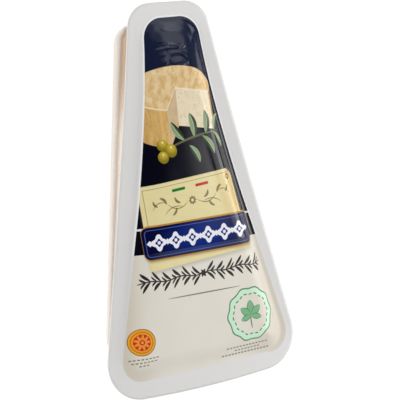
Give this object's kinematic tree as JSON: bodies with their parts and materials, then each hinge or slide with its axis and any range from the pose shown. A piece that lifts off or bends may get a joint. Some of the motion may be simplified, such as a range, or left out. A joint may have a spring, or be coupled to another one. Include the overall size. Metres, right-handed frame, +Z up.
{
  "type": "sealed wedge pack of pecorino romano cheese",
  "caption": "Wedge-shaped retail pack of hard cheese: clear deep-drawn tray filled by the wedge, shut by a printed film sealed on its flat rim.",
  "frame": {"origin": "middle of the pack's outline at the height of the tray's flat floor, which it rests on", "axes": "+X across the pack, +Y from the broad end to the tip, +Z up out of the printed film"},
  "size_m": [0.0952, 0.171, 0.0381],
  "materials": {
    "tray_plastic": "clear, glossy deep-drawn sheet",
    "cheese": "smooth cut hard cheese, slightly mottled",
    "printed_film": "satin film, white rim, printed middle and a clear window"
  },
  "bodies": {
    "root": {"tray": "tray_plastic", "cheese": "cheese", "lid_film": "printed_film"}
  },
  "joints": []
}
